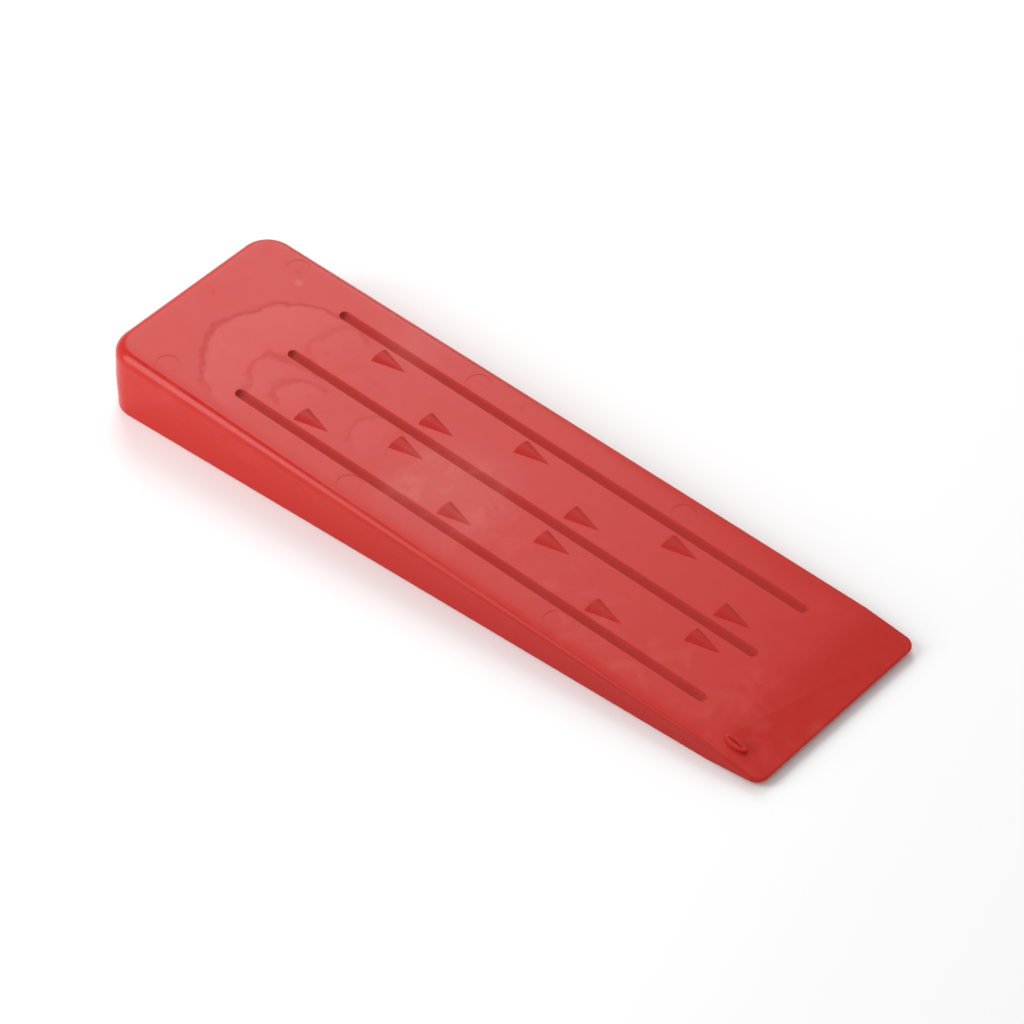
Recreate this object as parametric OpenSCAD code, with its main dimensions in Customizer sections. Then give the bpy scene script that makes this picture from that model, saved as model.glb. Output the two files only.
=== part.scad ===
// Felling wedge: one solid moulding in tough red plastic, driven into a saw cut to tip a tree.
// Millimetres.  The flat underside lies on z = 0, +X runs from the struck butt to the thin nose,
// +Y is across the width, and x = 0, y = 0 is the middle of the outline on the underside.
// Each face carries its own square-edged plate; the wedge is what the two plates have in common,
// so the end face is split by the parting line midway between the faces, as it is in the mould.

/* [Body] */
// Overall length from the butt to the nose
body_length = 230; // [120:1:305]
// Overall width
body_width = 66; // [40:1:90]
// Thickness at the butt
butt_height = 22; // [15:0.5:35]
// Angle between the upper and lower faces, in degrees
taper_angle = 4.45; // [3:0.05:6]

/* [Corners and edges] */
// Corner radius of the outline at the butt
butt_corner_r = 9; // [3:0.5:15]
// Corner radius of the outline at the nose
nose_corner_r = 3.5; // [2.5:0.5:8]
// How much rounder the corners are in the upper half of the mould than in the lower half
corner_difference = 0.2; // [0.1:0.1:0.5]
// Rounding round the rim of the upper face
upper_edge_r = 2; // [0.5:0.1:3]
// Rounding round the rim of the underside
lower_edge_r = 0.8; // [0.5:0.1:3]

/* [Nose] */
// Length of the steeper lead-in on each face at the nose
nose_bevel_length = 16.8; // [8:0.2:30]
// How far the lead-in has cut into each face at the nose tip
nose_bevel_drop = 1.55; // [0.5:0.05:1.8]

/* [Grooves] */
// Number of long grooves on each face
groove_count = 3; // [1:1:3]
// Spacing of the groove centre lines
groove_pitch = 21; // [15:0.5:23]
// Distance from the butt to the near end of a groove
groove_start = 39.2; // [20:0.2:60]
// Length of a groove, end to end
groove_length = 163.8; // [80:0.2:165]
// Width of a groove at the surface
groove_width = 3; // [2:0.1:4]
// Depth of a groove
groove_depth = 1.2; // [0.5:0.1:2]

/* [Barbs] */
// Barbs in each row
barbs_per_row = 3; // [1:1:3]
// Spacing of the barbs along a row
barb_pitch = 51.2; // [40:0.2:60]
// Distance from the butt to the steep back of the first barb
barb_start = 57.6; // [50:0.2:80]
// Length of a barb from its steep back to its point
barb_length = 10.4; // [6:0.2:14]
// Width of a barb across its steep back
barb_width = 6.2; // [4:0.2:8]
// Height of a barb above the face
barb_height = 0.9; // [0.4:0.1:2]
// Distance from the centre line to the two outer rows
outer_row_y = 15.65; // [12:0.05:17]
// Distance from the centre line to the two inner rows
inner_row_y = 6.05; // [5:0.05:9]

/* [Moulding marks] */
// Diameter of the round marks left by the ejector pins
ejector_mark_d = 7; // [4:0.5:9]
// Depth of the ejector pin marks
ejector_mark_depth = 0.15; // [0.1:0.05:0.4]
// Distance from the centre line to each row of ejector marks
ejector_row_y = 26.5; // [26.5:0.5:28]
// Length of the stub left where the runner was snapped off
gate_stub_length = 7; // [4:0.5:9]
// Width of the runner stub
gate_stub_width = 2.6; // [1.5:0.1:4]
// Height of the runner stub above the bevel
gate_stub_height = 0.9; // [0.3:0.1:1.3]

/* [Hidden] */
$fn = 64;
red = "#C8302B";
ejector_mark_x = [19, 85, 157];
gate_x = 217.9;
gate_y = -27.2;
skin = 1;
vertex_x = butt_height / sin(taper_angle);
slab_depth = butt_height + skin;
nose_bevel_angle = atan(nose_bevel_drop / nose_bevel_length);
bevel_start_x = body_length - nose_bevel_length;
groove_r = (pow(groove_width / 2, 2) + pow(groove_depth, 2)) / (2 * groove_depth);
groove_run = groove_length - groove_width;
barb_rise = atan(barb_height / barb_length);
barb_spread = atan(barb_width / 2 / barb_length);
barb_dip = atan((cos(barb_rise) - cos(barb_spread)) / sin(barb_rise));
barb_cone_length = barb_length * 1.6;
barb_cone_r = barb_cone_length * tan(barb_dip + barb_rise);
rows = [[outer_row_y, 0], [inner_row_y, 1], [-inner_row_y, 1], [-outer_row_y, 0]];

// Half of the slab's cross-section: a plate with its outer lower corner rounded to r.
module rim_profile(width, r) {
    difference() {
        square([width, slab_depth]);
        difference() {
            translate([width - r, 0]) square(r + skin);
            translate([width - r, r]) circle(r);
            translate([width - r, r]) square([r + 2 * skin, 2 * skin]);
        }
    }
}

// One end of the slab, from the joint with the straight part at x = 0 to the tip at x = corner_r.
module slab_end(corner_r, r) {
    span = body_width - 2 * corner_r;
    rotate([90, 0, 0]) linear_extrude(span, center = true) rim_profile(corner_r, r);
    translate([0, span / 2, 0]) rotate_extrude(angle = 90) rim_profile(corner_r, r);
    translate([0, -span / 2, 0])
        rotate([0, 0, -90]) rotate_extrude(angle = 90) rim_profile(corner_r, r);
}

// A slab standing on its rounded rim, deep enough to reach past the other face.
module rounded_slab(r, butt_r, nose_r) {
    translate([butt_r, 0, 0]) {
        rotate([90, 0, 90])
            linear_extrude(body_length - butt_r - nose_r)
                for (side = [0, 1])
                    mirror([side, 0]) rim_profile(body_width / 2, r);
        rotate([0, 0, 180]) slab_end(butt_r, r);
    }
    translate([body_length - nose_r, 0, 0]) slab_end(nose_r, r);
}

// What the steeper lead-in at the nose takes away from one face.
module nose_bevel() {
    translate([bevel_start_x, -body_width, 0])
        rotate([0, -nose_bevel_angle, 0])
            translate([0, 0, -body_width])
                cube([body_length, 2 * body_width, body_width]);
}

// One groove with rounded ends, as a round-nosed cutter would leave it.
module groove() {
    lift = groove_r - groove_depth;
    end_inset = groove_width / 2;
    translate([groove_start + end_inset, 0, -lift]) {
        rotate([0, 90, 0]) cylinder(r = groove_r, h = groove_run);
        sphere(groove_r);
        translate([groove_run, 0, 0]) sphere(groove_r);
    }
}

// What is cut into one face: the lead-in at the nose and the long grooves.
module face_cuts() {
    nose_bevel();
    for (k = [0 : groove_count - 1])
        translate([0, (k - (groove_count - 1) / 2) * groove_pitch, 0]) groove();
}

// Moves things drawn on z = 0 up to the sloping upper face, with +Z pointing out of it.
module on_upper_face() {
    translate([vertex_x, 0, 0])
        rotate([0, taper_angle, 0])
            translate([-vertex_x, 0, 0])
                children();
}

// A raised barb: part of a cone, rising from a point at the nose end to a steep back.
module barb() {
    intersection() {
        translate([barb_length, 0, 0])
            rotate([0, -90 - barb_dip, 0])
                cylinder(h = barb_cone_length, r1 = 0, r2 = barb_cone_r);
        translate([0, -barb_width, -skin / 2])
            cube([barb_length, 2 * barb_width, barb_height + skin]);
    }
}

// The four rows of barbs, the inner rows set half a pitch on from the outer ones.
module barbs() {
    for (row = rows)
        for (k = [0 : barbs_per_row - 1])
            translate([barb_start + (k + row[1] / 2) * barb_pitch, row[0], 0]) barb();
}

// The stub left on the nose bevel where the runner was snapped off.
module gate_stub() {
    r = gate_stub_width / 2;
    run = gate_stub_length - gate_stub_width;
    translate([bevel_start_x, 0, 0])
        rotate([0, nose_bevel_angle, 0])
            translate([gate_x - bevel_start_x - run / 2, gate_y, gate_stub_height - r]) {
                rotate([0, 90, 0]) cylinder(r = r, h = run);
                sphere(r);
                translate([run, 0, 0]) sphere(r);
            }
}

// The round marks the ejector pins left along both sides of the upper face.
module ejector_marks() {
    for (x = ejector_mark_x)
        for (side = [-1, 1])
            translate([x, side * ejector_row_y, -ejector_mark_depth])
                cylinder(d = ejector_mark_d, h = skin);
}

// The plain tapered body, shared by the plate on the underside and the one on the upper face.
module blank() {
    intersection() {
        rounded_slab(lower_edge_r, butt_corner_r, nose_corner_r);
        on_upper_face() mirror([0, 0, 1])
            rounded_slab(
                upper_edge_r,
                butt_corner_r + corner_difference,
                nose_corner_r + corner_difference
            );
    }
}

// The whole moulding: the cut blank with everything raised or pressed into its upper face.
module wedge_body() {
    color(red)
        translate([-body_length / 2, 0, 0]) {
            difference() {
                blank();
                face_cuts();
                on_upper_face() {
                    mirror([0, 0, 1]) face_cuts();
                    ejector_marks();
                }
            }
            on_upper_face() {
                barbs();
                gate_stub();
            }
        }
}

wedge_body();
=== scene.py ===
# %% [markdown]
# # A felling wedge in red plastic
# A felling wedge is one solid injection moulding, hammered into a saw cut to tip a tree.  It has no
# screws, caps or inserts, so the whole lesson is about one piece: a tapered block with rounded
# rims, three long grooves on each face, twelve raised barbs on the upper face, and the small marks
# that the mould left.  The packed CAD model gives the size and the place of everything here.

# %% Load the fixed frame
from math import asin, atan, cos, pi, radians, sin, sqrt, tan

import bmesh
import bpy
from mathutils import Matrix, Quaternion, Vector


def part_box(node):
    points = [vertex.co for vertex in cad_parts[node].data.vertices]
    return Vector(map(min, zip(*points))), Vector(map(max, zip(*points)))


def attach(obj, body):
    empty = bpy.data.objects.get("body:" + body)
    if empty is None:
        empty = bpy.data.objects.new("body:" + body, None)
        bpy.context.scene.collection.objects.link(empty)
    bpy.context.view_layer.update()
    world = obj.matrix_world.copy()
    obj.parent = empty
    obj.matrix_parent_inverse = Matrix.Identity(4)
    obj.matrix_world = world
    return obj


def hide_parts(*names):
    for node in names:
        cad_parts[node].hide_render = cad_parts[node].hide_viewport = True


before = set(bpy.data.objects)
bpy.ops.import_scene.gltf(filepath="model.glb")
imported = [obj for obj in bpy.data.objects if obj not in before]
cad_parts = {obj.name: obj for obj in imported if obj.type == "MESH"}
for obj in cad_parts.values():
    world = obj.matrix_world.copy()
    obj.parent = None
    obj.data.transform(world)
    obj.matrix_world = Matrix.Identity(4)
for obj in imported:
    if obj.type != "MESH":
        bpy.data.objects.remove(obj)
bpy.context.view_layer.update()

MM = 0.001
low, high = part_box("wedge_body")
print("wedge_body spans", [round(v / MM, 2) for v in high - low], "mm")

# %% [markdown]
# ## Two sloping frames
# The underside lies flat on z = 0.  The upper face slopes down from the butt to the nose, and
# everything on it (grooves, barbs, marks) is square to that slope.  A matrix that tilts about the
# line where the two faces would meet lets each of those be drawn flat and then laid on the slope.

# %% The tilt of the upper face
BUTT_X, HALF_WIDTH = low.x, high.y
LENGTH, BUTT_HEIGHT = 230 * MM, 22 * MM
TAPER = radians(4.45)
MEETING_X = BUTT_X + BUTT_HEIGHT / sin(TAPER)
UPPER = (
    Matrix.Translation((MEETING_X, 0, 0))
    @ Matrix.Rotation(TAPER, 4, "Y")
    @ Matrix.Translation((-MEETING_X, 0, 0))
)


def on_upper(x, y, z=0.0):
    """The place of a point that is x along from the butt, y across and z above the upper face."""
    return UPPER @ Vector((BUTT_X + x, y, z))


print("upper face meets the underside", round(MEETING_X / MM, 1), "mm along")

# %% [markdown]
# ## Small helpers for selecting
# Operators act on whatever is selected, and the CAD nodes arrive selected, so each step starts by
# clearing the selection.  Edges are then picked in code, by where they lie.

# %% Selecting
def select_nothing():
    """Goes back to object mode with nothing selected."""
    if bpy.context.mode != "OBJECT":
        bpy.ops.object.mode_set(mode="OBJECT")
    bpy.ops.object.select_all(action="DESELECT")


def start_on(thing):
    """Makes one object the only selected and active one, in object mode."""
    select_nothing()
    thing.select_set(True)
    bpy.context.view_layer.objects.active = thing


def edit(thing, kind="EDGE"):
    """Opens one object in edit mode with nothing selected."""
    start_on(thing)
    bpy.ops.object.mode_set(mode="EDIT")
    bpy.ops.mesh.select_mode(type=kind)
    bpy.ops.mesh.select_all(action="DESELECT")


def add_shape(primitive, **size_and_place):
    """Adds a primitive as the only selected object and returns it."""
    select_nothing()
    primitive(**size_and_place)
    return bpy.context.active_object


def pick_edges(thing, test):
    """Selects the edges of the open mesh for which test(start, end, edge) holds, and counts them."""
    mesh = bmesh.from_edit_mesh(thing.data)
    found = 0
    for edge in mesh.edges:
        start, end = (vert.co for vert in edge.verts)
        edge.select = bool(test(start, end, edge))
        found += edge.select
    mesh.select_flush_mode()
    bmesh.update_edit_mesh(thing.data)
    return found


def face_outwards(thing):
    """Turns every face of a closed mesh to look outwards."""
    edit(thing)
    bpy.ops.mesh.select_all(action="SELECT")
    bpy.ops.mesh.normals_make_consistent(inside=False)
    bpy.ops.object.mode_set(mode="OBJECT")


print("selected on arrival:", len(bpy.context.selected_objects))

# %% [markdown]
# ## Small helpers for shaping
# Three more steps come back again and again: sawing a mesh along a plane, settling an object's
# place into its mesh, and adding a modifier and applying it.  The saw treats points that lie closer
# to the plane than its threshold as lying on it, and a part of this size needs that to be fine.

# %% Shaping
FINE = 0.0001 * MM


def slice_off(point, normal):
    """Saws the open mesh along a plane, drops the side the normal points to and closes the cut."""
    bpy.ops.mesh.select_all(action="SELECT")
    bpy.ops.mesh.bisect(
        plane_co=point, plane_no=normal, use_fill=True, clear_outer=True, threshold=FINE
    )
    bpy.ops.mesh.select_all(action="DESELECT")


def settle(thing):
    """Puts an object's place, turn and size into its mesh, so that its own frame is the world's."""
    start_on(thing)
    bpy.ops.object.transform_apply(location=True, rotation=True, scale=True)


def apply_modifier(thing, kind, settings):
    """Adds one modifier with its settings and applies it straight away."""
    start_on(thing)
    added = thing.modifiers.new(kind.lower(), kind)
    for name, value in settings.items():
        setattr(added, name, value)
    bpy.ops.object.modifier_apply(modifier=added.name)


print("points closer than", FINE / MM, "mm to the plane of the saw count as on it")

# %% [markdown]
# ## The block, seen from above
# A cube with bevelled edges is the usual start for such a block, but a Bevel keeps one width, and
# the upper rim of this wedge is rounder at the butt (about 3.3 mm) than at the nose (0.6 mm), and
# it runs round corners of two sizes.  So the skin is laid ring by ring, as a lofted hull is, and
# the first step is one ring: the outline from above, each point with the direction that faces out
# of the side there.  The long sides get a point about every 10 mm, so that the rim can taper.

# %% The outline seen from above
NOSE_BEVEL_LENGTH, NOSE_BEVEL_DROP = 16.8 * MM, 1.55 * MM
NOSE_BEVEL = atan(NOSE_BEVEL_DROP / NOSE_BEVEL_LENGTH)
BEVEL_START = LENGTH - NOSE_BEVEL_LENGTH
BUTT_CORNER, NOSE_CORNER = (9 * MM, 18), (3.5 * MM, 12)  # radius and number of steps
STATION_GAP = 10 * MM


def corner(radius, steps, at_butt, side):
    """Points and outward directions round one corner, as (x, y, out_x, out_y) from the butt."""
    centre_x = radius if at_butt else LENGTH - radius
    points = []
    for k in range(steps + 1):
        turn = pi / 2 * k / steps
        out_x, out_y = (-cos(turn) if at_butt else cos(turn)), side * sin(turn)
        y = side * (HALF_WIDTH - radius) + radius * out_y
        points.append((centre_x + radius * out_x, y, out_x, out_y))
    return points


first, last = BUTT_CORNER[0], LENGTH - NOSE_CORNER[0]
count = round((BEVEL_START - first) / STATION_GAP)
stations = [first + (BEVEL_START - first) * k / count for k in range(1, count + 1)]
stations.append((BEVEL_START + last) / 2)
near_side = corner(*BUTT_CORNER, True, -1) + [(x, -HALF_WIDTH, 0, -1) for x in stations]
near_side += corner(*NOSE_CORNER, False, -1)[::-1]
outline = near_side + [(x, -y, out_x, -out_y) for x, y, out_x, out_y in reversed(near_side)]
print("the outline has", len(outline), "points")

# %% [markdown]
# ## The levels of the skin
# The two halves of the mould lean apart by the taper.  Rings below the parting line therefore stand
# square to the underside, rings above it stand square to the upper face, and both meet on the
# parting line.  The sides also lean in by a fraction of a degree: that is the draft, which lets a
# moulding slip out of its mould.  Near the thin nose the rims shrink, so that they never meet.

# %% Where a point of the skin lies
UPPER_RIM_BUTT, UPPER_RIM_NOSE, LOWER_RIM = 3.3 * MM, 0.6 * MM, 0.8 * MM
DRAFT, THIN = radians(0.2), 0.8


def half_thickness(x):
    """The height of the parting line above the underside."""
    return (BUTT_X + x - MEETING_X) * -tan(TAPER / 2)


def drop(x):
    """How far the lead-in at the nose has cut into a face."""
    return max(0.0, x - BEVEL_START) * tan(NOSE_BEVEL)


def rim_radius(x, upper):
    """The rounding of a rim, which shrinks where the nose gets thin."""
    tapered = UPPER_RIM_BUTT + (UPPER_RIM_NOSE - UPPER_RIM_BUTT) * x / LENGTH
    return min(tapered if upper else LOWER_RIM, THIN * (half_thickness(x) - drop(x)))


def ring_point(x, y, out_x, out_y, turn, upper):
    """A point of the skin.  turn goes from 0, where the rim begins, to a quarter turn on the flat."""
    radius = rim_radius(x, upper)
    lean = (half_thickness(x) - drop(x) - radius) * tan(DRAFT)
    inset = radius * (1 - cos(turn)) + lean
    inner_x, inner_y = x - out_x * inset, y - out_y * inset
    depth = radius * (1 - sin(turn)) + drop(inner_x)
    if upper:
        return on_upper(inner_x, inner_y, -depth)
    return Vector((BUTT_X + inner_x, inner_y, depth))


print("parting line is", [round(half_thickness(x) / MM, 2) for x in (0, LENGTH)], "mm high")

# %% [markdown]
# ## Skinning the block
# The rings become one mesh: a band of four-sided faces between each ring and the next, and two flat
# faces on top and two underneath, divided where the steeper lead-in begins.  The upper rim shows
# most, so it gets a ring at every step of its quarter turn and the lower rim one at every third.

# %% Lay the rings and skin them
RIM_STEPS, LOWER_RIM_STRIDE, SLACK = 12, 3, 0.01 * MM
turns = [pi / 2 * k / RIM_STEPS for k in range(RIM_STEPS + 1)]
rings = [
    [ring_point(*point, turn, False) for point in outline]
    for turn in reversed(turns[::LOWER_RIM_STRIDE])
]
rings.append([Vector((BUTT_X + x, y, half_thickness(x))) for x, y, *_ in outline])
rings += [[ring_point(*point, turn, True) for point in outline] for turn in turns]

around = len(outline)
faces = [
    (level * around + k, level * around + (k + 1) % around,
     (level + 1) * around + (k + 1) % around, (level + 1) * around + k)
    for level in range(len(rings) - 1)
    for k in range(around)
]
behind = [k for k, point in enumerate(outline) if point[0] < BEVEL_START + SLACK]
ahead = [k for k, point in enumerate(outline) if point[0] > BEVEL_START - SLACK]
top_ring = (len(rings) - 1) * around
faces += [[top_ring + k for k in part] for part in (behind, ahead)]
faces += [part[::-1] for part in (behind, ahead)]
skin = bpy.data.meshes.new("wedge_moulding")
skin.from_pydata([point for ring in rings for point in ring], [], faces)
wedge = bpy.data.objects.new("wedge_moulding", skin)
bpy.context.scene.collection.objects.link(wedge)
face_outwards(wedge)
print("block:", len(rings), "rings,", len(skin.polygons), "faces")

# %% [markdown]
# ## The grooves
# Three shallow grooves run along each face and stop short of both ends.  Moulded plastic never has
# a knife edge, so the lip of a groove is a small rounding, and that soft lip is what catches light.
# The cutter that makes a groove carries the rounding itself.  Its half section is the round floor,
# the lip that turns over onto the face, a short run out, and a straight rise clear of the face.

# %% The section of a groove, from its floor out to its lip
GROOVE_PITCH, GROOVE_START, GROOVE_LENGTH = 21 * MM, 39.2 * MM, 163.8 * MM
GROOVE_WIDTH, GROOVE_DEPTH, LIP_RADIUS = 3 * MM, 1.2 * MM, 0.4 * MM
LIP_SLOPE, LIP_RUN_OUT = radians(12), 0.25 * MM
FLOOR_STEPS, LIP_STEPS = 8, 5
groove_radius = ((GROOVE_WIDTH / 2) ** 2 + GROOVE_DEPTH**2) / (2 * GROOVE_DEPTH)
groove_lift = groove_radius - GROOVE_DEPTH
lip_z = -LIP_RADIUS * cos(LIP_SLOPE)
lip_y = sqrt((groove_radius + LIP_RADIUS) ** 2 - (groove_lift - lip_z) ** 2)
handover = asin((groove_lift - lip_z) / (groove_radius + LIP_RADIUS))


def arc_points(centre, radius, start, end, steps):
    """Points on an arc in the YZ plane, as (y, z)."""
    angles = [start + (end - start) * k / steps for k in range(steps + 1)]
    return [(centre[0] + radius * cos(t), centre[1] + radius * sin(t)) for t in angles]


section = arc_points((0, groove_lift), groove_radius, -pi / 2, -handover, FLOOR_STEPS)
section += arc_points(
    (lip_y, lip_z), LIP_RADIUS, pi - handover, pi / 2 + LIP_SLOPE, LIP_STEPS
)[1:]
edge_y = section[-1][0]
outer_y = edge_y + LIP_RUN_OUT
section += [(outer_y, LIP_RUN_OUT * tan(LIP_SLOPE)), (outer_y, MM), (0, MM)]
print("half a groove section has", len(section), "points and is", round(edge_y / MM, 2), "mm wide")

# %% [markdown]
# ## One cutter for every groove
# The section is drawn with Extrude, one point after another, as one would draw it by hand.  Spin
# turns it half way round into a domed end, Extrude pulls the open side out to half the length, and
# a Mirror modifier makes the other half.  One cutter is enough, because every groove is the same.

# %% Spin the section into a cutter
END_STEPS, WELD = 16, 0.002 * MM
half_run = GROOVE_LENGTH / 2 - GROOVE_WIDTH / 2


def draw_section():
    """Draws the half section by extruding the one selected point of the open mesh."""
    pen = Vector((0, 0, 0))
    for number, (y, z) in enumerate(section):
        step = Vector((0, y, z)) - pen
        if number:
            bpy.ops.mesh.extrude_region_move(TRANSFORM_OT_translate={"value": step})
        else:
            bpy.ops.transform.translate(value=step)
        pen = Vector((0, y, z))


def on_open_side(start, end, edge):
    """A test for the edges of the domed end that still lie open on x = 0."""
    return max(abs(start.x), abs(end.x)) < WELD / 2 and len(edge.link_faces) == 1


def groove_cutter():
    """A closed bar with domed ends, its middle at the origin and its length along X."""
    bar = add_shape(bpy.ops.mesh.primitive_plane_add, size=MM)
    edit(bar, "VERT")
    bpy.ops.mesh.select_all(action="SELECT")
    bpy.ops.mesh.merge(type="CENTER")
    draw_section()
    bpy.ops.mesh.select_all(action="SELECT")
    bpy.ops.mesh.spin(steps=END_STEPS, angle=pi, center=(0, 0, 0), axis=(0, 0, 1))
    bpy.ops.mesh.select_all(action="SELECT")
    bpy.ops.mesh.remove_doubles(threshold=WELD)
    if max(v.co.x for v in bmesh.from_edit_mesh(bar.data).verts) > GROOVE_WIDTH / 4:
        bpy.ops.transform.rotate(value=pi, orient_axis="Z", center_override=(0, 0, 0))
    bpy.ops.mesh.select_mode(type="EDGE")
    pick_edges(bar, on_open_side)
    bpy.ops.mesh.extrude_region_move(TRANSFORM_OT_translate={"value": (half_run, 0, 0)})
    bpy.ops.mesh.select_all(action="SELECT")
    bpy.ops.transform.translate(value=(-half_run, 0, 0))
    apply_modifier(bar, "MIRROR", {"use_axis": (True, False, False), "merge_threshold": WELD})
    face_outwards(bar)
    return bar


cutter = groove_cutter()
print("cutter is", [round(v / MM, 2) for v in cutter.dimensions], "mm")

# %% [markdown]
# ## Cutting and joining
# A Boolean modifier takes a tool away from the wedge or joins it on.  It rounds off details below a
# hundredth of a millimetre when a mesh is measured in metres, so both meshes are enlarged a
# thousand times for the cut and brought back afterwards.

# %% Copies and Booleans
def copy_of(thing, matrix):
    """A copy with its own mesh, laid in place by a matrix that is settled into the mesh."""
    start_on(thing)
    bpy.ops.object.duplicate(linked=False)
    copy = bpy.context.active_object
    copy.matrix_world = matrix
    settle(copy)
    return copy


def enlarge(thing, times):
    """Scales an object about the origin and settles that into its mesh."""
    thing.scale = (times, times, times)
    settle(thing)


def cut_or_join(body, tool, operation):
    """Takes a tool away from the body, or joins it on, and then deletes the tool."""
    enlarge(tool, 1 / MM)
    enlarge(body, 1 / MM)
    apply_modifier(
        body,
        "BOOLEAN",
        {"operation": operation, "object": tool, "solver": "EXACT", "use_self": False},
    )
    enlarge(body, MM)
    bpy.data.objects.remove(tool, do_unlink=True)


print("faces before any cut:", len(wedge.data.polygons))

# %% [markdown]
# ## Six grooves
# The upper face takes three copies of the cutter, laid on the slope, and the underside takes three
# copies turned over.  A Boolean has trouble with a tool whose corners lie exactly on the face that
# it cuts, so every copy stands a hair proud.

# %% Cut the grooves
CLEAR, ROWS = 0.013 * MM, (-1, 0, 1)
groove_middle = BUTT_X + GROOVE_START + GROOVE_LENGTH / 2
proud = Matrix.Translation((0, 0, CLEAR))
for row in ROWS:
    lying = Matrix.Translation((groove_middle, row * GROOVE_PITCH, 0))
    cut_or_join(wedge, copy_of(cutter, UPPER @ lying @ proud), "DIFFERENCE")
    turned = lying @ Matrix.Rotation(pi, 4, "X") @ proud
    cut_or_join(wedge, copy_of(cutter, turned), "DIFFERENCE")
bpy.data.objects.remove(cutter, do_unlink=True)
print("after the grooves:", len(wedge.data.polygons), "faces")

# %% [markdown]
# ## The barbs
# Twelve barbs stop the wedge from backing out of the cut.  Each is a slice of a cone: it rises from
# a point at the nose end to a steep back at the butt end.  One barb is made from a cone primitive
# that is tilted, sawn square at the back and below the face, and softened with a Bevel at its
# crest.  The dip of the cone's axis follows from the length, the width and the height of the barb.

# %% Shape one barb
BARB_LENGTH, BARB_WIDTH, BARB_HEIGHT = 10.4 * MM, 6.2 * MM, 0.9 * MM
ROOT, CREST, CREST_STEPS, CONE_SIDES = 0.5 * MM, 0.22 * MM, 3, 72
CONE_SPARE = 1.6  # how many times longer than the barb its cone is, before the sawing
barb_rise = atan(BARB_HEIGHT / BARB_LENGTH)
barb_spread = atan(BARB_WIDTH / 2 / BARB_LENGTH)
barb_dip = atan((cos(barb_rise) - cos(barb_spread)) / sin(barb_rise))
cone_length = BARB_LENGTH * CONE_SPARE


def on_crest(start, end, edge):
    """A test for the edges round the steep back of the barb, except the one below the face."""
    return all(abs(p.x) < SLACK and p.z > -ROOT * 0.9 for p in (start, end))


def barb_blank():
    """One barb lying at the origin: its back on x = 0, its point towards +X, its top towards +Z."""
    barb = add_shape(
        bpy.ops.mesh.primitive_cone_add,
        vertices=CONE_SIDES,
        radius1=cone_length * tan(barb_dip + barb_rise),
        radius2=0,
        depth=cone_length,
    )
    barb.matrix_world = (
        Matrix.Translation((BARB_LENGTH, 0, 0))
        @ Matrix.Rotation(pi / 2 - barb_dip, 4, "Y")
        @ Matrix.Translation((0, 0, -cone_length / 2))
    )
    settle(barb)
    edit(barb)
    slice_off((0, 0, 0), (-1, 0, 0))
    slice_off((0, 0, -ROOT), (0, 0, -1))
    pick_edges(barb, on_crest)
    bpy.ops.mesh.bevel(offset=CREST, segments=CREST_STEPS, profile=0.5, clamp_overlap=False)
    bpy.ops.mesh.select_all(action="SELECT")
    bpy.ops.mesh.remove_doubles(threshold=SLACK / 2)
    face_outwards(barb)
    return barb


first_barb = barb_blank()
print("a barb is", [round(v / MM, 2) for v in first_barb.dimensions], "mm with its root")

# %% [markdown]
# ## Four staggered rows
# The barbs stand in two outer and two inner rows of three.  The inner rows are set half a pitch on,
# so that some barb is biting wherever the wedge stops.  Each copy is joined on with a union, with
# its root inside the block, which leaves the clean crease that a moulded barb has round its foot.

# %% Copy the barbs into their rows and join them on
BARB_PITCH, BARB_START, BARBS_PER_ROW = 51.2 * MM, 57.6 * MM, 3
BARB_ROWS = [  # across, and how many pitches the row is set on
    (15.65 * MM, 0), (6.05 * MM, 0.5), (-6.05 * MM, 0.5), (-15.65 * MM, 0),
]
for row_y, shift in BARB_ROWS:
    for number in range(BARBS_PER_ROW):
        back_x = BARB_START + (number + shift) * BARB_PITCH
        lying = UPPER @ Matrix.Translation((BUTT_X + back_x, row_y, -CLEAR))
        cut_or_join(wedge, copy_of(first_barb, lying), "UNION")
bpy.data.objects.remove(first_barb, do_unlink=True)
print("barbs joined on:", len(wedge.data.polygons), "faces")

# %% [markdown]
# ## What the ejector pins left
# Ejector pins push the part out of the mould while it is still warm, and leave faint round dimples
# along both sides.  A shallow cylinder taken away is all that it needs, because the eye finds such
# a mark by its fine edge and not by its depth.

# %% Press in the ejector marks
EJECTOR_X, EJECTOR_Y = (18.6 * MM, 85 * MM, 157 * MM), 26.3 * MM
EJECTOR_RADIUS, EJECTOR_DEPTH, PIN_SIDES, PIN_LENGTH = 3.5 * MM, 0.07 * MM, 64, 2 * MM
for mark_x in EJECTOR_X:
    for side in (-1, 1):
        pin = add_shape(
            bpy.ops.mesh.primitive_cylinder_add,
            vertices=PIN_SIDES,
            radius=EJECTOR_RADIUS,
            depth=PIN_LENGTH,
        )
        pin.matrix_world = UPPER @ Matrix.Translation(
            (BUTT_X + mark_x, side * EJECTOR_Y, PIN_LENGTH / 2 - EJECTOR_DEPTH)
        )
        settle(pin)
        cut_or_join(wedge, pin, "DIFFERENCE")
print("ejector marks pressed in:", len(wedge.data.polygons), "faces")

# %% [markdown]
# ## Where the runner was snapped off
# The plastic ran in at one corner of the nose, through a runner that was snapped off afterwards, so
# a small torn lip is left.  It starts as an oval, a stretched cylinder.  Its top is inset twice and
# pushed down a little, the rim is roughened with Randomize and softened with a Bevel, and a union
# joins it onto the lead-in.

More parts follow.
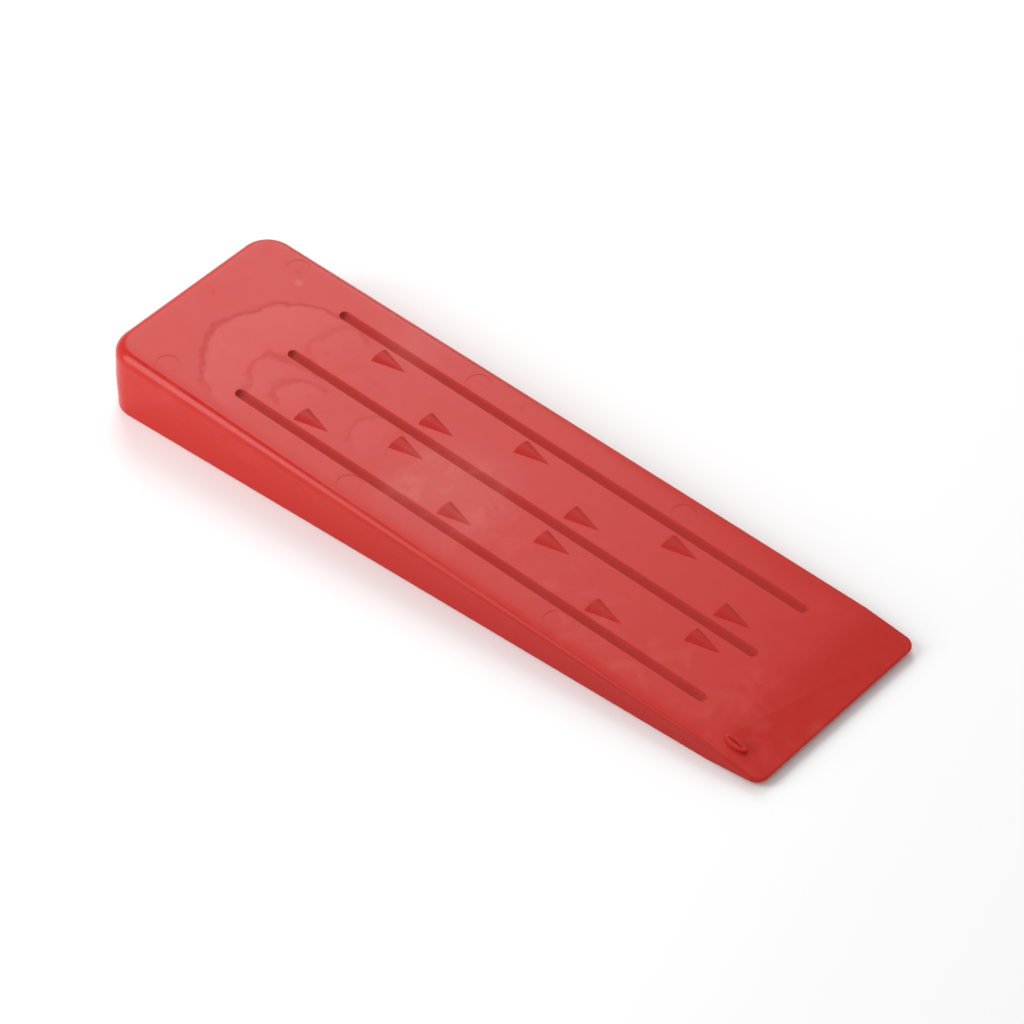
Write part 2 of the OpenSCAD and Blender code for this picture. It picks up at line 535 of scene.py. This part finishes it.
# %% Leave the torn lip of the runner
GATE_X, GATE_Y = 217.9 * MM, -27.4 * MM
GATE_LENGTH, GATE_WIDTH, GATE_HEIGHT, GATE_SIDES = 7 * MM, 3.2 * MM, 0.9 * MM, 28
GATE_INSETS, GATE_SINK, GATE_TEAR, TEAR_SEED = (0.8 * MM, 0.4 * MM), 0.2 * MM, 0.12 * MM, 7
lip = add_shape(
    bpy.ops.mesh.primitive_cylinder_add,
    vertices=GATE_SIDES,
    radius=GATE_WIDTH / 2,
    depth=2 * GATE_HEIGHT,
)
lip.scale.x = GATE_LENGTH / GATE_WIDTH
settle(lip)
edit(lip, "FACE")
shape = bmesh.from_edit_mesh(lip.data)
for face in shape.faces:
    face.select = face.normal.z > 0.9
bmesh.update_edit_mesh(lip.data)
for inset_width in GATE_INSETS:
    bpy.ops.mesh.inset(thickness=inset_width)
bpy.ops.transform.translate(value=(0, 0, -GATE_SINK))
bpy.ops.mesh.select_all(action="DESELECT")
pick_edges(lip, lambda start, end, edge: min(start.z, end.z) > GATE_HEIGHT * 0.9)
bpy.ops.transform.vertex_random(offset=GATE_TEAR, seed=TEAR_SEED)
bpy.ops.mesh.bevel(offset=GATE_TEAR, segments=2, clamp_overlap=True)
lead_in = (
    UPPER
    @ Matrix.Translation((BUTT_X + BEVEL_START, 0, 0))
    @ Matrix.Rotation(NOSE_BEVEL, 4, "Y")
)
start_on(lip)
lip.matrix_world = lead_in @ Matrix.Translation((GATE_X - BEVEL_START, GATE_Y, 0))
settle(lip)
cut_or_join(wedge, lip, "UNION")
print("runner lip joined on:", len(wedge.data.polygons), "faces")

# %% [markdown]
# ## Smooth shading that keeps the flats flat
# Big flat faces beside narrow roundings shade badly if every corner normal is a plain average.
# Shading is smoothed only across shallow angles.  The outlines of the barbs and marks, and the line
# where the lead-in begins, are marked sharp.  A Weighted Normal modifier then lets the large faces
# win, so the flats stay flat and only the roundings turn the light.

# %% Clean and shade the moulding
SMOOTH_BELOW, CREASE_ABOVE, WEIGHT = radians(32), radians(4), 100
GROOVE_REACH, RIM_REACH = 1.9 * MM, 2.8 * MM


def lies_on(plane, *points):
    """Whether every point lies on z = 0 of a tilted frame."""
    return all(abs((plane.inverted() @ point).z) < SLACK for point in points)


def outline_on_upper(start, end, edge):
    """A test for the outlines of the barbs, marks, runner lip and lead-in on the upper side."""
    if len(edge.link_faces) != 2 or edge.calc_face_angle() < CREASE_ABOVE:
        return False
    if abs((start + end).y / 2) >= HALF_WIDTH - RIM_REACH:
        return False
    in_groove = any(
        all(abs(abs(p.y) - row * GROOVE_PITCH) < GROOVE_REACH for p in (start, end))
        for row in (0, 1)
    )
    if lies_on(UPPER, start, end):
        return not in_groove
    return lies_on(lead_in, start, end)


start_on(wedge)
bpy.ops.object.shade_smooth_by_angle(angle=SMOOTH_BELOW)
edit(wedge)
outlines = pick_edges(wedge, outline_on_upper)
bpy.ops.mesh.mark_sharp()
apply_modifier(wedge, "WEIGHTED_NORMAL", {"keep_sharp": True, "weight": WEIGHT})
print("outlines kept crisp:", outlines)
check = bmesh.new()
check.from_mesh(wedge.data)
open_edges = sum(1 for edge in check.edges if len(edge.link_faces) != 2)
print(len(wedge.data.polygons), "faces,", open_edges, "open edges,",
      round(check.calc_volume() / MM**3), "mm3")
check.free()

# %% [markdown]
# ## Shader maths as plain expressions
# A pattern is a formula over the surface.  Written as nodes by hand it is hard to read, so one
# small class wraps the output of a node and turns +, - and * into Math nodes.

# %% A value that varies over the surface
class Varying:
    """A node's output.  Sums and products of it add the Math nodes that they stand for."""

    def __init__(self, finish, socket):
        self.finish, self.socket = finish, socket

    def math(self, operation, *others):
        """One Math node whose first input is this value."""
        inputs = dict(enumerate((self, *others)))
        return self.finish.node("ShaderNodeMath", {"operation": operation}, inputs)

    def __add__(self, other):
        return self.math("ADD", other)

    def __sub__(self, other):
        return self.math("SUBTRACT", other)

    def __rsub__(self, other):
        return self.math("MULTIPLY_ADD", -1.0, other)

    def __mul__(self, other):
        return self.math("MULTIPLY", other)

    __radd__ = __add__

    def between(self, start, end, result=(0.0, 1.0)):
        """A smooth ramp from start to end, held outside them."""
        return self.finish.node(
            "ShaderNodeMapRange",
            {"interpolation_type": "SMOOTHSTEP"},
            {"Value": self, "From Min": start, "From Max": end,
             "To Min": result[0], "To Max": result[1]},
        )


print("a varying value knows", [name for name in vars(Varying) if not name.startswith("_")])

# %% [markdown]
# ## A material that is built by one method
# Every node is made the same way: choose its type, change its settings, and only then fill its
# inputs, because a setting can change which inputs a node has.  An input takes a plain value or the
# output of another node.

# %% A finish
class Finish:
    """A material being built.  Every node comes from its one method, node()."""

    def __init__(self, name):
        self.material = bpy.data.materials.new(name)
        self.material.use_nodes = True
        self.tree = self.material.node_tree
        self.tree.nodes.clear()

    def node(self, kind, settings=None, inputs=None, output=0):
        """Adds a node: its settings first, then each input's value or link."""
        made = self.tree.nodes.new(kind)
        for name, value in (settings or {}).items():
            setattr(made, name, value)
        for name, value in (inputs or {}).items():
            if isinstance(value, Varying):
                self.tree.links.new(value.socket, made.inputs[name])
            else:
                made.inputs[name].default_value = value
        return Varying(self, made.outputs[output]) if made.outputs else made

    def mix(self, base, over, amount):
        """Blends two colours by an amount from 0 to 1."""
        return self.node(
            "ShaderNodeMix",
            {"data_type": "RGBA"},
            {"Factor": amount, "A": base, "B": over},
            "Result",
        )


red = Finish("red_moulded_plastic")
print("started the finish", red.material.name)

# %% [markdown]
# ## The red plastic
# The colour is moulded in, so there is no paint to chip.  What shows instead is how the melt ran
# and what the mould did to it, and a few masks also paint in shade and a highlight.  Each of those
# is a mask from 0 to 1, made from the piece's own coordinates, and the masks then shift the colour
# and the roughness a little.  The first masks only say where on the wedge a point is.

# %% Where on the wedge
PARTING_SOFTNESS, SIDE_START, FACE_START = 1.0 * MM, 0.1 * MM, 1.2 * MM
place = red.node("ShaderNodeTexCoord", output="Object")
x = red.node("ShaderNodeSeparateXYZ", inputs={0: place}, output="X")
y, z = (Varying(red, x.socket.node.outputs[name]) for name in ("Y", "Z"))
from_butt, from_middle = x - BUTT_X, y.math("ABSOLUTE")
upper_half = (z - (MEETING_X - x) * tan(TAPER / 2)).between(0.0, PARTING_SOFTNESS)
upper_face = from_middle.between(HALF_WIDTH - SIDE_START, HALF_WIDTH - FACE_START)

def noise(size, detail=3.0, roughness=0.55, distortion=0.0):
    """Cloudy noise about 0 to 1, whose lumps are about this size in metres."""
    return red.node(
        "ShaderNodeTexNoise",
        inputs={"Vector": place, "Scale": 1 / size, "Detail": detail,
                "Roughness": roughness, "Distortion": distortion},
    )


def distance_from(centre_x, centre_y, reach_x, reach_y):
    """How far the surface is from a point given from the butt and from the middle."""
    dx, dy = reach_x - centre_x, reach_y - centre_y
    return (dx * dx + dy * dy).math("SQRT")


print("masks so far use", len(red.tree.nodes), "nodes")

# %% [markdown]
# ## Flow fronts
# Where the melt slowed down near the butt, each pulse of it left a faint curved line, and the pool
# behind the line set a little paler.  A front is drawn as a circle whose coordinates are pushed
# about by noise, so that it wanders as a real one does, and it fades on the far side.

# %% Fronts and pools
WANDER, LINE_WIDTH, POOL_START, POOL_FULL = 12 * MM, 1.7 * MM, 0.5 * MM, -1.5 * MM
FLOW_FRONTS = [  # from the butt, across, radius, strength
    (43 * MM, -4 * MM, 23.4 * MM, 1.0),
    (47 * MM, -10 * MM, 10.8 * MM, 0.8),
    (55 * MM, -11 * MM, 7.6 * MM, 0.7),
    (51 * MM, 10 * MM, 9 * MM, 0.5),
    (80 * MM, -9 * MM, 8 * MM, 0.5),
]
along = from_butt + (noise(9 * MM, 4.0, 0.58) - 0.5) * WANDER
across = y + (noise(12 * MM, 4.0, 0.58, 0.5) - 0.5) * WANDER


def front_and_pool(centre_x, centre_y, radius, strength):
    """The line of one flow front, and the paler pool behind it."""
    past_line = distance_from(centre_x, centre_y, along, across) - radius
    towards_butt = (along - centre_x - (across - centre_y) * 0.5).between(
        0.35 * radius, -0.3 * radius
    )
    fade = (along - centre_x).between(0.6 * radius, -0.6 * radius)
    line = past_line.math("ABSOLUTE").between(LINE_WIDTH, 0.0) * towards_butt * strength
    pool = past_line.between(POOL_START, POOL_FULL) * fade * strength
    return line, pool


fronts, pools = front_and_pool(*FLOW_FRONTS[0])
for flow_front in FLOW_FRONTS[1:]:
    line, pool = front_and_pool(*flow_front)
    fronts, pools = fronts.math("MAXIMUM", line), pools.math("MAXIMUM", pool)
fronts, pools = fronts * upper_face, pools * upper_face
print("flow fronts drawn:", len(FLOW_FRONTS))

# %% [markdown]
# ## Specks
# A few dark specks of scorched plastic, and one pale one, lie near the surface.  Each is a soft
# round spot, measured with plain coordinates so that it stays where it is put.

# %% Small spots
SPECKS = [  # from the butt, across, radius, strength
    (8.7 * MM, 2.8 * MM, 1.0 * MM, 1.0), (20.4 * MM, 25 * MM, 1.3 * MM, 0.6),
    (48 * MM, 6 * MM, 1.2 * MM, 0.6), (65 * MM, 7 * MM, 1.4 * MM, 0.6),
    (55.6 * MM, -9 * MM, 1.2 * MM, 0.5), (74 * MM, -4 * MM, 1.4 * MM, 0.5),
    (119.6 * MM, -6.5 * MM, 1.4 * MM, 0.6), (100.4 * MM, 27.3 * MM, 1.2 * MM, 0.9),
    (96 * MM, 6.4 * MM, 1.0 * MM, 0.4), (8.5 * MM, 19.8 * MM, 0.9 * MM, 0.5),
]
PALE_SPECK, PALE_SPECK_EDGES = (23.3 * MM, 22 * MM), (1.9 * MM, 0.2 * MM)


def speck(centre_x, centre_y, radius, strength):
    """One dark speck with a soft edge."""
    reach = distance_from(centre_x, centre_y, from_butt, y)
    return reach.between(radius, 0.2 * radius) * strength


specks = speck(*SPECKS[0])
for one_speck in SPECKS[1:]:
    specks = specks.math("MAXIMUM", speck(*one_speck))
specks = specks * upper_half
pale_spot = distance_from(*PALE_SPECK, from_butt, y).between(*PALE_SPECK_EDGES) * upper_half
print("specks:", len(SPECKS))

# %% [markdown]
# ## Clouds and grain
# Slow clouds show where the pigment is thinner, soft smears lie near the middle, and a fine mottle
# covers everything.  The grain is too small to see but breaks up the shine.  Each is a Noise
# Texture of its own size, and a ramp picks out its higher parts.

# %% Noise at four sizes
PAINTED_FALLOFF_ALONG, SMEAR_ALONG = (90 * MM, 210 * MM), (95 * MM, 130 * MM)
SMEAR_ACROSS = (2 * MM, -8 * MM)
# painted shade: this ramp thins the pale clouds and mottle out towards the nose, where the glare
# falls off
painted_nose_falloff = from_butt.between(*PAINTED_FALLOFF_ALONG, (1.0, 0.25))
clouds = noise(14 * MM, 5.0, 0.6, 0.8).between(0.42, 0.68)
smears = (
    noise(11 * MM, 3.0, 0.5, 0.5).between(0.48, 0.72)
    * from_butt.between(*SMEAR_ALONG)
    * y.between(*SMEAR_ACROSS)
)
mottle = noise(2.6 * MM, 4.0, 0.65).between(0.35, 0.7)
grain = noise(0.35 * MM, 2.0, 0.5)
print("masks so far use", len(red.tree.nodes), "nodes")

# %% [markdown]
# ## Grooves and ejector marks
# The troughs of the grooves get painted shade, set a little towards the far side and darkest at
# their butt ends, for the shade that falls into them; they are also rougher than the face.  The edge
# of each ejector mark gets a thin ring of painted shade.  A groove is as near as the closest point
# of its middle line, so the mask follows its round ends too.

# %% Troughs and rings
TROUGH_SHIFT, TROUGH_EDGES = 0.35 * MM, (1.45 * MM, 0.75 * MM)
DOT_INSET, DOT_EDGES, RING_EDGES = 1.6 * MM, (1.6 * MM, 0.6 * MM), (0.45 * MM, 0.1 * MM)
sideways = (y - TROUGH_SHIFT).math("ABSOLUTE")
row_gap = (sideways - GROOVE_PITCH).math("ABSOLUTE").math("MINIMUM", sideways)
end_gap = ((x - groove_middle).math("ABSOLUTE") - half_run).math("MAXIMUM", 0.0)
# painted shade in the troughs, set towards the far side, with a painted shadow at their butt ends
trough = (row_gap * row_gap + end_gap * end_gap).math("SQRT").between(*TROUGH_EDGES)
groove_end_shadow = (from_butt - (GROOVE_START + DOT_INSET)).math("ABSOLUTE").between(*DOT_EDGES)

pin_x = (from_butt - EJECTOR_X[0]).math("ABSOLUTE")
for mark_x in EJECTOR_X[1:]:
    pin_x = pin_x.math("MINIMUM", (from_butt - mark_x).math("ABSOLUTE"))
pin_y = from_middle - EJECTOR_Y
pin_edge = ((pin_x * pin_x + pin_y * pin_y).math("SQRT") - EJECTOR_RADIUS).math("ABSOLUTE")
# painted shade: a thin dark ring along the edge of each ejector mark
pin_rings = pin_edge.between(*RING_EDGES) * upper_face
print("masks so far use", len(red.tree.nodes), "nodes")

# %% [markdown]
# ## Barbs, lead-in, rims and sheen
# The barbs and the lead-in get painted shade, a little deeper than the face, for the glare that
# their tilted faces miss.  The rounded rims catch the light in their own way, a painted highlight
# (a paler sheen) lies over the middle, and painted shade deepens the long sides towards the nose.
# A height above the upper face is enough to tell the barbs from everything else.

# %% Masks for the rest of the shape
RAISED_EDGES, RAISED_END, STEP_HALF = (0.01 * MM, 0.10 * MM), (208 * MM, 204 * MM), 0.3 * MM
RIM_EDGES = (HALF_WIDTH - 3.4 * MM, HALF_WIDTH - 2.4 * MM)
SHEEN, SHEEN_RADIUS = (106 * MM, -9 * MM), 24 * MM
FAR_SHEEN, FAR_SHEEN_RADIUS, FAR_SHEEN_STRENGTH = (62 * MM, 26 * MM), 16 * MM, 0.5
PAINTED_SIDE_SHADE, PAINTED_SIDE_SHADE_START = 0.75, 10 * MM
above_face = z * cos(TAPER) - (MEETING_X - x) * sin(TAPER)
# the barbs: darkened with painted shade for the glare that their ramps miss, and made rougher
raised = above_face.between(*RAISED_EDGES) * from_butt.between(*RAISED_END)
# painted shade over the lead-in, which slopes away from the glare more steeply than the face
painted_lead_in_shade = from_butt.between(BEVEL_START - STEP_HALF, BEVEL_START + STEP_HALF) * upper_face
rims = from_middle.between(*RIM_EDGES) * upper_face
# painted highlight: a whitish patch over the middle and a weaker one near the far rim stand in for
# reflected light
painted_sheen = distance_from(*SHEEN, along, across).between(SHEEN_RADIUS, 0.0) * upper_face
far_painted_sheen = distance_from(*FAR_SHEEN, along, across).between(FAR_SHEEN_RADIUS, 0.0)
painted_sheen = painted_sheen.math("MAXIMUM", far_painted_sheen * upper_face * FAR_SHEEN_STRENGTH)
# painted shade: the long sides darken towards the nose, where the light from the left falls off
painted_side_shade = (1.0 - upper_face) * from_butt.between(PAINTED_SIDE_SHADE_START, LENGTH) * PAINTED_SIDE_SHADE
print("all masks use", len(red.tree.nodes), "nodes")

# %% [markdown]
# ## Colour
# The masks are laid over one red, one after another: paler where the pigment is thin, though
# thinned out towards the nose as painted shade; deeper on the fronts and the specks; painted shade
# on the barbs, the lead-in, the thin end of the sides, the troughs and the rims of the ejector marks;
# and whitish in the pale speck and in a painted highlight, the sheen, over the middle.  Each amount
# is small, because the colour of a moulding is very even.

# %% Lay the colours over each other
RED = (0.52, 0.012, 0.005, 1.0)
PALE_RED = (0.60, 0.055, 0.045, 1.0)
DEEP_RED = (0.36, 0.006, 0.003, 1.0)
GROOVE_SHADE_RED = (0.33, 0.030, 0.024, 1.0)
WHITISH = (0.70, 0.30, 0.28, 1.0)
LAYERS = [  # the colour that is laid over, and how much of it
    # paler where the pigment is thin, thinned out towards the nose by painted shade
    (PALE_RED, (clouds * 0.20 + mottle * 0.12) * upper_half * painted_nose_falloff),
    (PALE_RED, pools * 0.28 + smears * 0.4 * upper_face),
    (DEEP_RED, fronts * 0.28),
    # painted shade on the long sides towards the nose
    (DEEP_RED, painted_side_shade),
    (DEEP_RED, specks * 0.6),
    # painted shade in the troughs of the grooves, darkest at their butt ends
    (GROOVE_SHADE_RED, trough * (0.36 + mottle * 0.30 + groove_end_shadow * 0.30)),
    # painted shade along the edges of the ejector marks
    (DEEP_RED, pin_rings * 0.15),
    # painted shade on the barbs and the lead-in
    (DEEP_RED, raised * 0.28 + painted_lead_in_shade * 0.14),
    # the pale speck, and the painted highlight over the middle
    (WHITISH, pale_spot * 0.18 + painted_sheen * (0.10 + clouds * 0.20)),
]
colour = RED
for over, amount in LAYERS:
    colour = red.mix(colour, over, amount)
print("layers of colour:", len(LAYERS))

# %% [markdown]
# ## Roughness and relief
# The face is satin, the troughs are duller, and the rounded rims are smoother at the butt than
# towards the nose.  A Bump node adds what is too small to model: slow unevenness from shrinking, a
# fine grain, and the slight rolling off of the face towards its edges.  Heights are real metres, so
# Distance and Strength stay at 1.

# %% Roughness, relief and the finished plastic
ROLL_OFF, ROLL_FROM_MIDDLE, ROLL_FROM_BUTT = 12.0, 27 * MM, 6 * MM
SHRINKING, RIPPLE, GRAIN = 0.10 * MM, 0.015 * MM, 0.0025 * MM
TROUGH_TEXTURE, FRONT_STEP = 0.10 * MM, 0.008 * MM
RIM_ALONG, RIM_CHANGE = (30 * MM, 170 * MM), (-0.13, 0.14)
roughness = 0.34 + clouds * 0.05 + mottle * 0.04 - pools * 0.03 + fronts * 0.10
roughness = roughness + trough * 0.3 + raised * 0.15
roughness = roughness + rims * from_butt.between(*RIM_ALONG, RIM_CHANGE)
crown = (from_middle - ROLL_FROM_MIDDLE).math("MAXIMUM", 0.0)
butt_roll = (BUTT_X + ROLL_FROM_BUTT - x).math("MAXIMUM", 0.0)
relief = (
    (crown * crown + butt_roll * butt_roll) * -ROLL_OFF
    + noise(22 * MM, 2.0) * SHRINKING
    + noise(5 * MM, 3.0) * RIPPLE
    + grain * GRAIN
    + trough * noise(1.2 * MM, 2.0) * TROUGH_TEXTURE
    - fronts * FRONT_STEP
)
surface_normal = red.node(
    "ShaderNodeBump", inputs={"Strength": 1.0, "Distance": 1.0, "Height": relief}
)
shader = red.node(
    "ShaderNodeBsdfPrincipled",
    inputs={
        "Base Color": colour,
        "Roughness": roughness,
        "Normal": surface_normal,
        "IOR": 1.53,
        "Specular IOR Level": 0.25,
    },
)
red.node("ShaderNodeOutputMaterial", inputs={"Surface": shader})
wedge.data.materials.clear()
wedge.data.materials.append(red.material)
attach(wedge, "root")
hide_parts("wedge_body")
print("red plastic made of", len(red.tree.nodes), "nodes")

# %% [markdown]
# ## Floor
# The wedge lies on a plain pale floor.  Seen from above, the floor is much larger than the view, so
# its edge shows only when the camera is very low.  It is matt and nearly white, and it throws light
# back onto the sides of the wedge.

# %% Pale floor
FLOOR_SIZE, FLOOR_WHITE, FLOOR_ROUGHNESS = 6.0, (0.96, 0.96, 0.96, 1.0), 0.9
floor = add_shape(bpy.ops.mesh.primitive_plane_add, size=FLOOR_SIZE, location=(0, 0, low.z))
floor.name = floor.data.name = "floor"
settle(floor)
pale = Finish("pale_floor")
pale_shader = pale.node(
    "ShaderNodeBsdfPrincipled",
    inputs={
        "Base Color": FLOOR_WHITE,
        "Roughness": FLOOR_ROUGHNESS,
        "Specular IOR Level": 0.0,
    },
)
pale.node("ShaderNodeOutputMaterial", inputs={"Surface": pale_shader})
floor.data.materials.append(pale.material)
print("floor is", FLOOR_SIZE, "m wide")

# %% [markdown]
# ## Soft studio light
# A broad soft light behind the wedge is mirrored in the upper face and washes the red towards pink
# at the butt end.  A second one at the left lights the long side and draws the bright line along
# the rounded rim; it stands close, so the light falls off towards the nose.  An even white surround
# fills the shadows.

# %% Soft studio lights
SURROUND_WHITE, SURROUND_STRENGTH = (1, 1, 1, 1), 0.6
SOFTBOXES = [  # name, direction, distance in metres, size in metres, watts
    ("back_softbox", (-0.59, 0.58, 0.66), 1.1, (0.5, 0.75), 4.9),
    ("left_softbox", (-0.51, -0.68, 0.53), 0.9, (0.45, 0.68), 4.9),
]


def softbox(name, towards, distance, size, watts):
    """A rectangular area light that stands in a direction from the wedge and faces it."""
    light = bpy.data.lights.new(name, "AREA")
    light.shape = "RECTANGLE"
    light.size, light.size_y = size
    light.energy = watts
    stand = bpy.data.objects.new(name, light)
    bpy.context.scene.collection.objects.link(stand)
    direction = Vector(towards).normalized()
    stand.location = direction * distance
    stand.rotation_euler = direction.to_track_quat("Z", "Y").to_euler()


for light_settings in SOFTBOXES:
    softbox(*light_settings)
world = bpy.data.worlds.new("studio")
bpy.context.scene.world = world
world.use_nodes = True
surround = world.node_tree.nodes["Background"].inputs
surround["Color"].default_value = SURROUND_WHITE
surround["Strength"].default_value = SURROUND_STRENGTH
bpy.context.scene.view_settings.view_transform = "Standard"

# %% [markdown]
# ## Camera
# A long lens stands well back, diagonally off the nose end, and looks down on the wedge.  One long
# side and the whole upper face show with hardly any perspective, and the butt is turned away.  The
# view is turned by about a degree, as it is when a camera isn't quite level.

# %% Camera
AZIMUTH, DOWN, ROLL = radians(131.33), radians(43.059), radians(-1.0185)
DISTANCE, LENS, SENSOR, VIEW_END = 1.24973, 163.6, 36, 20
aim = Vector((-0.07 * MM, 5.514 * MM, 0))
forward = Vector((cos(AZIMUTH) * cos(DOWN), sin(AZIMUTH) * cos(DOWN), -sin(DOWN)))
camera_data = bpy.data.cameras.new("camera")
camera_data.lens, camera_data.sensor_width = LENS, SENSOR
camera_data.clip_end = VIEW_END
camera = bpy.data.objects.new("camera", camera_data)
bpy.context.scene.collection.objects.link(camera)
camera.location = aim - forward * DISTANCE
camera.rotation_mode = "QUATERNION"
camera.rotation_quaternion = forward.to_track_quat("-Z", "Y") @ Quaternion((0, 0, 1), ROLL)
bpy.context.scene.camera = camera
print("camera stands", round(DISTANCE, 3), "m away")

# %% [markdown]
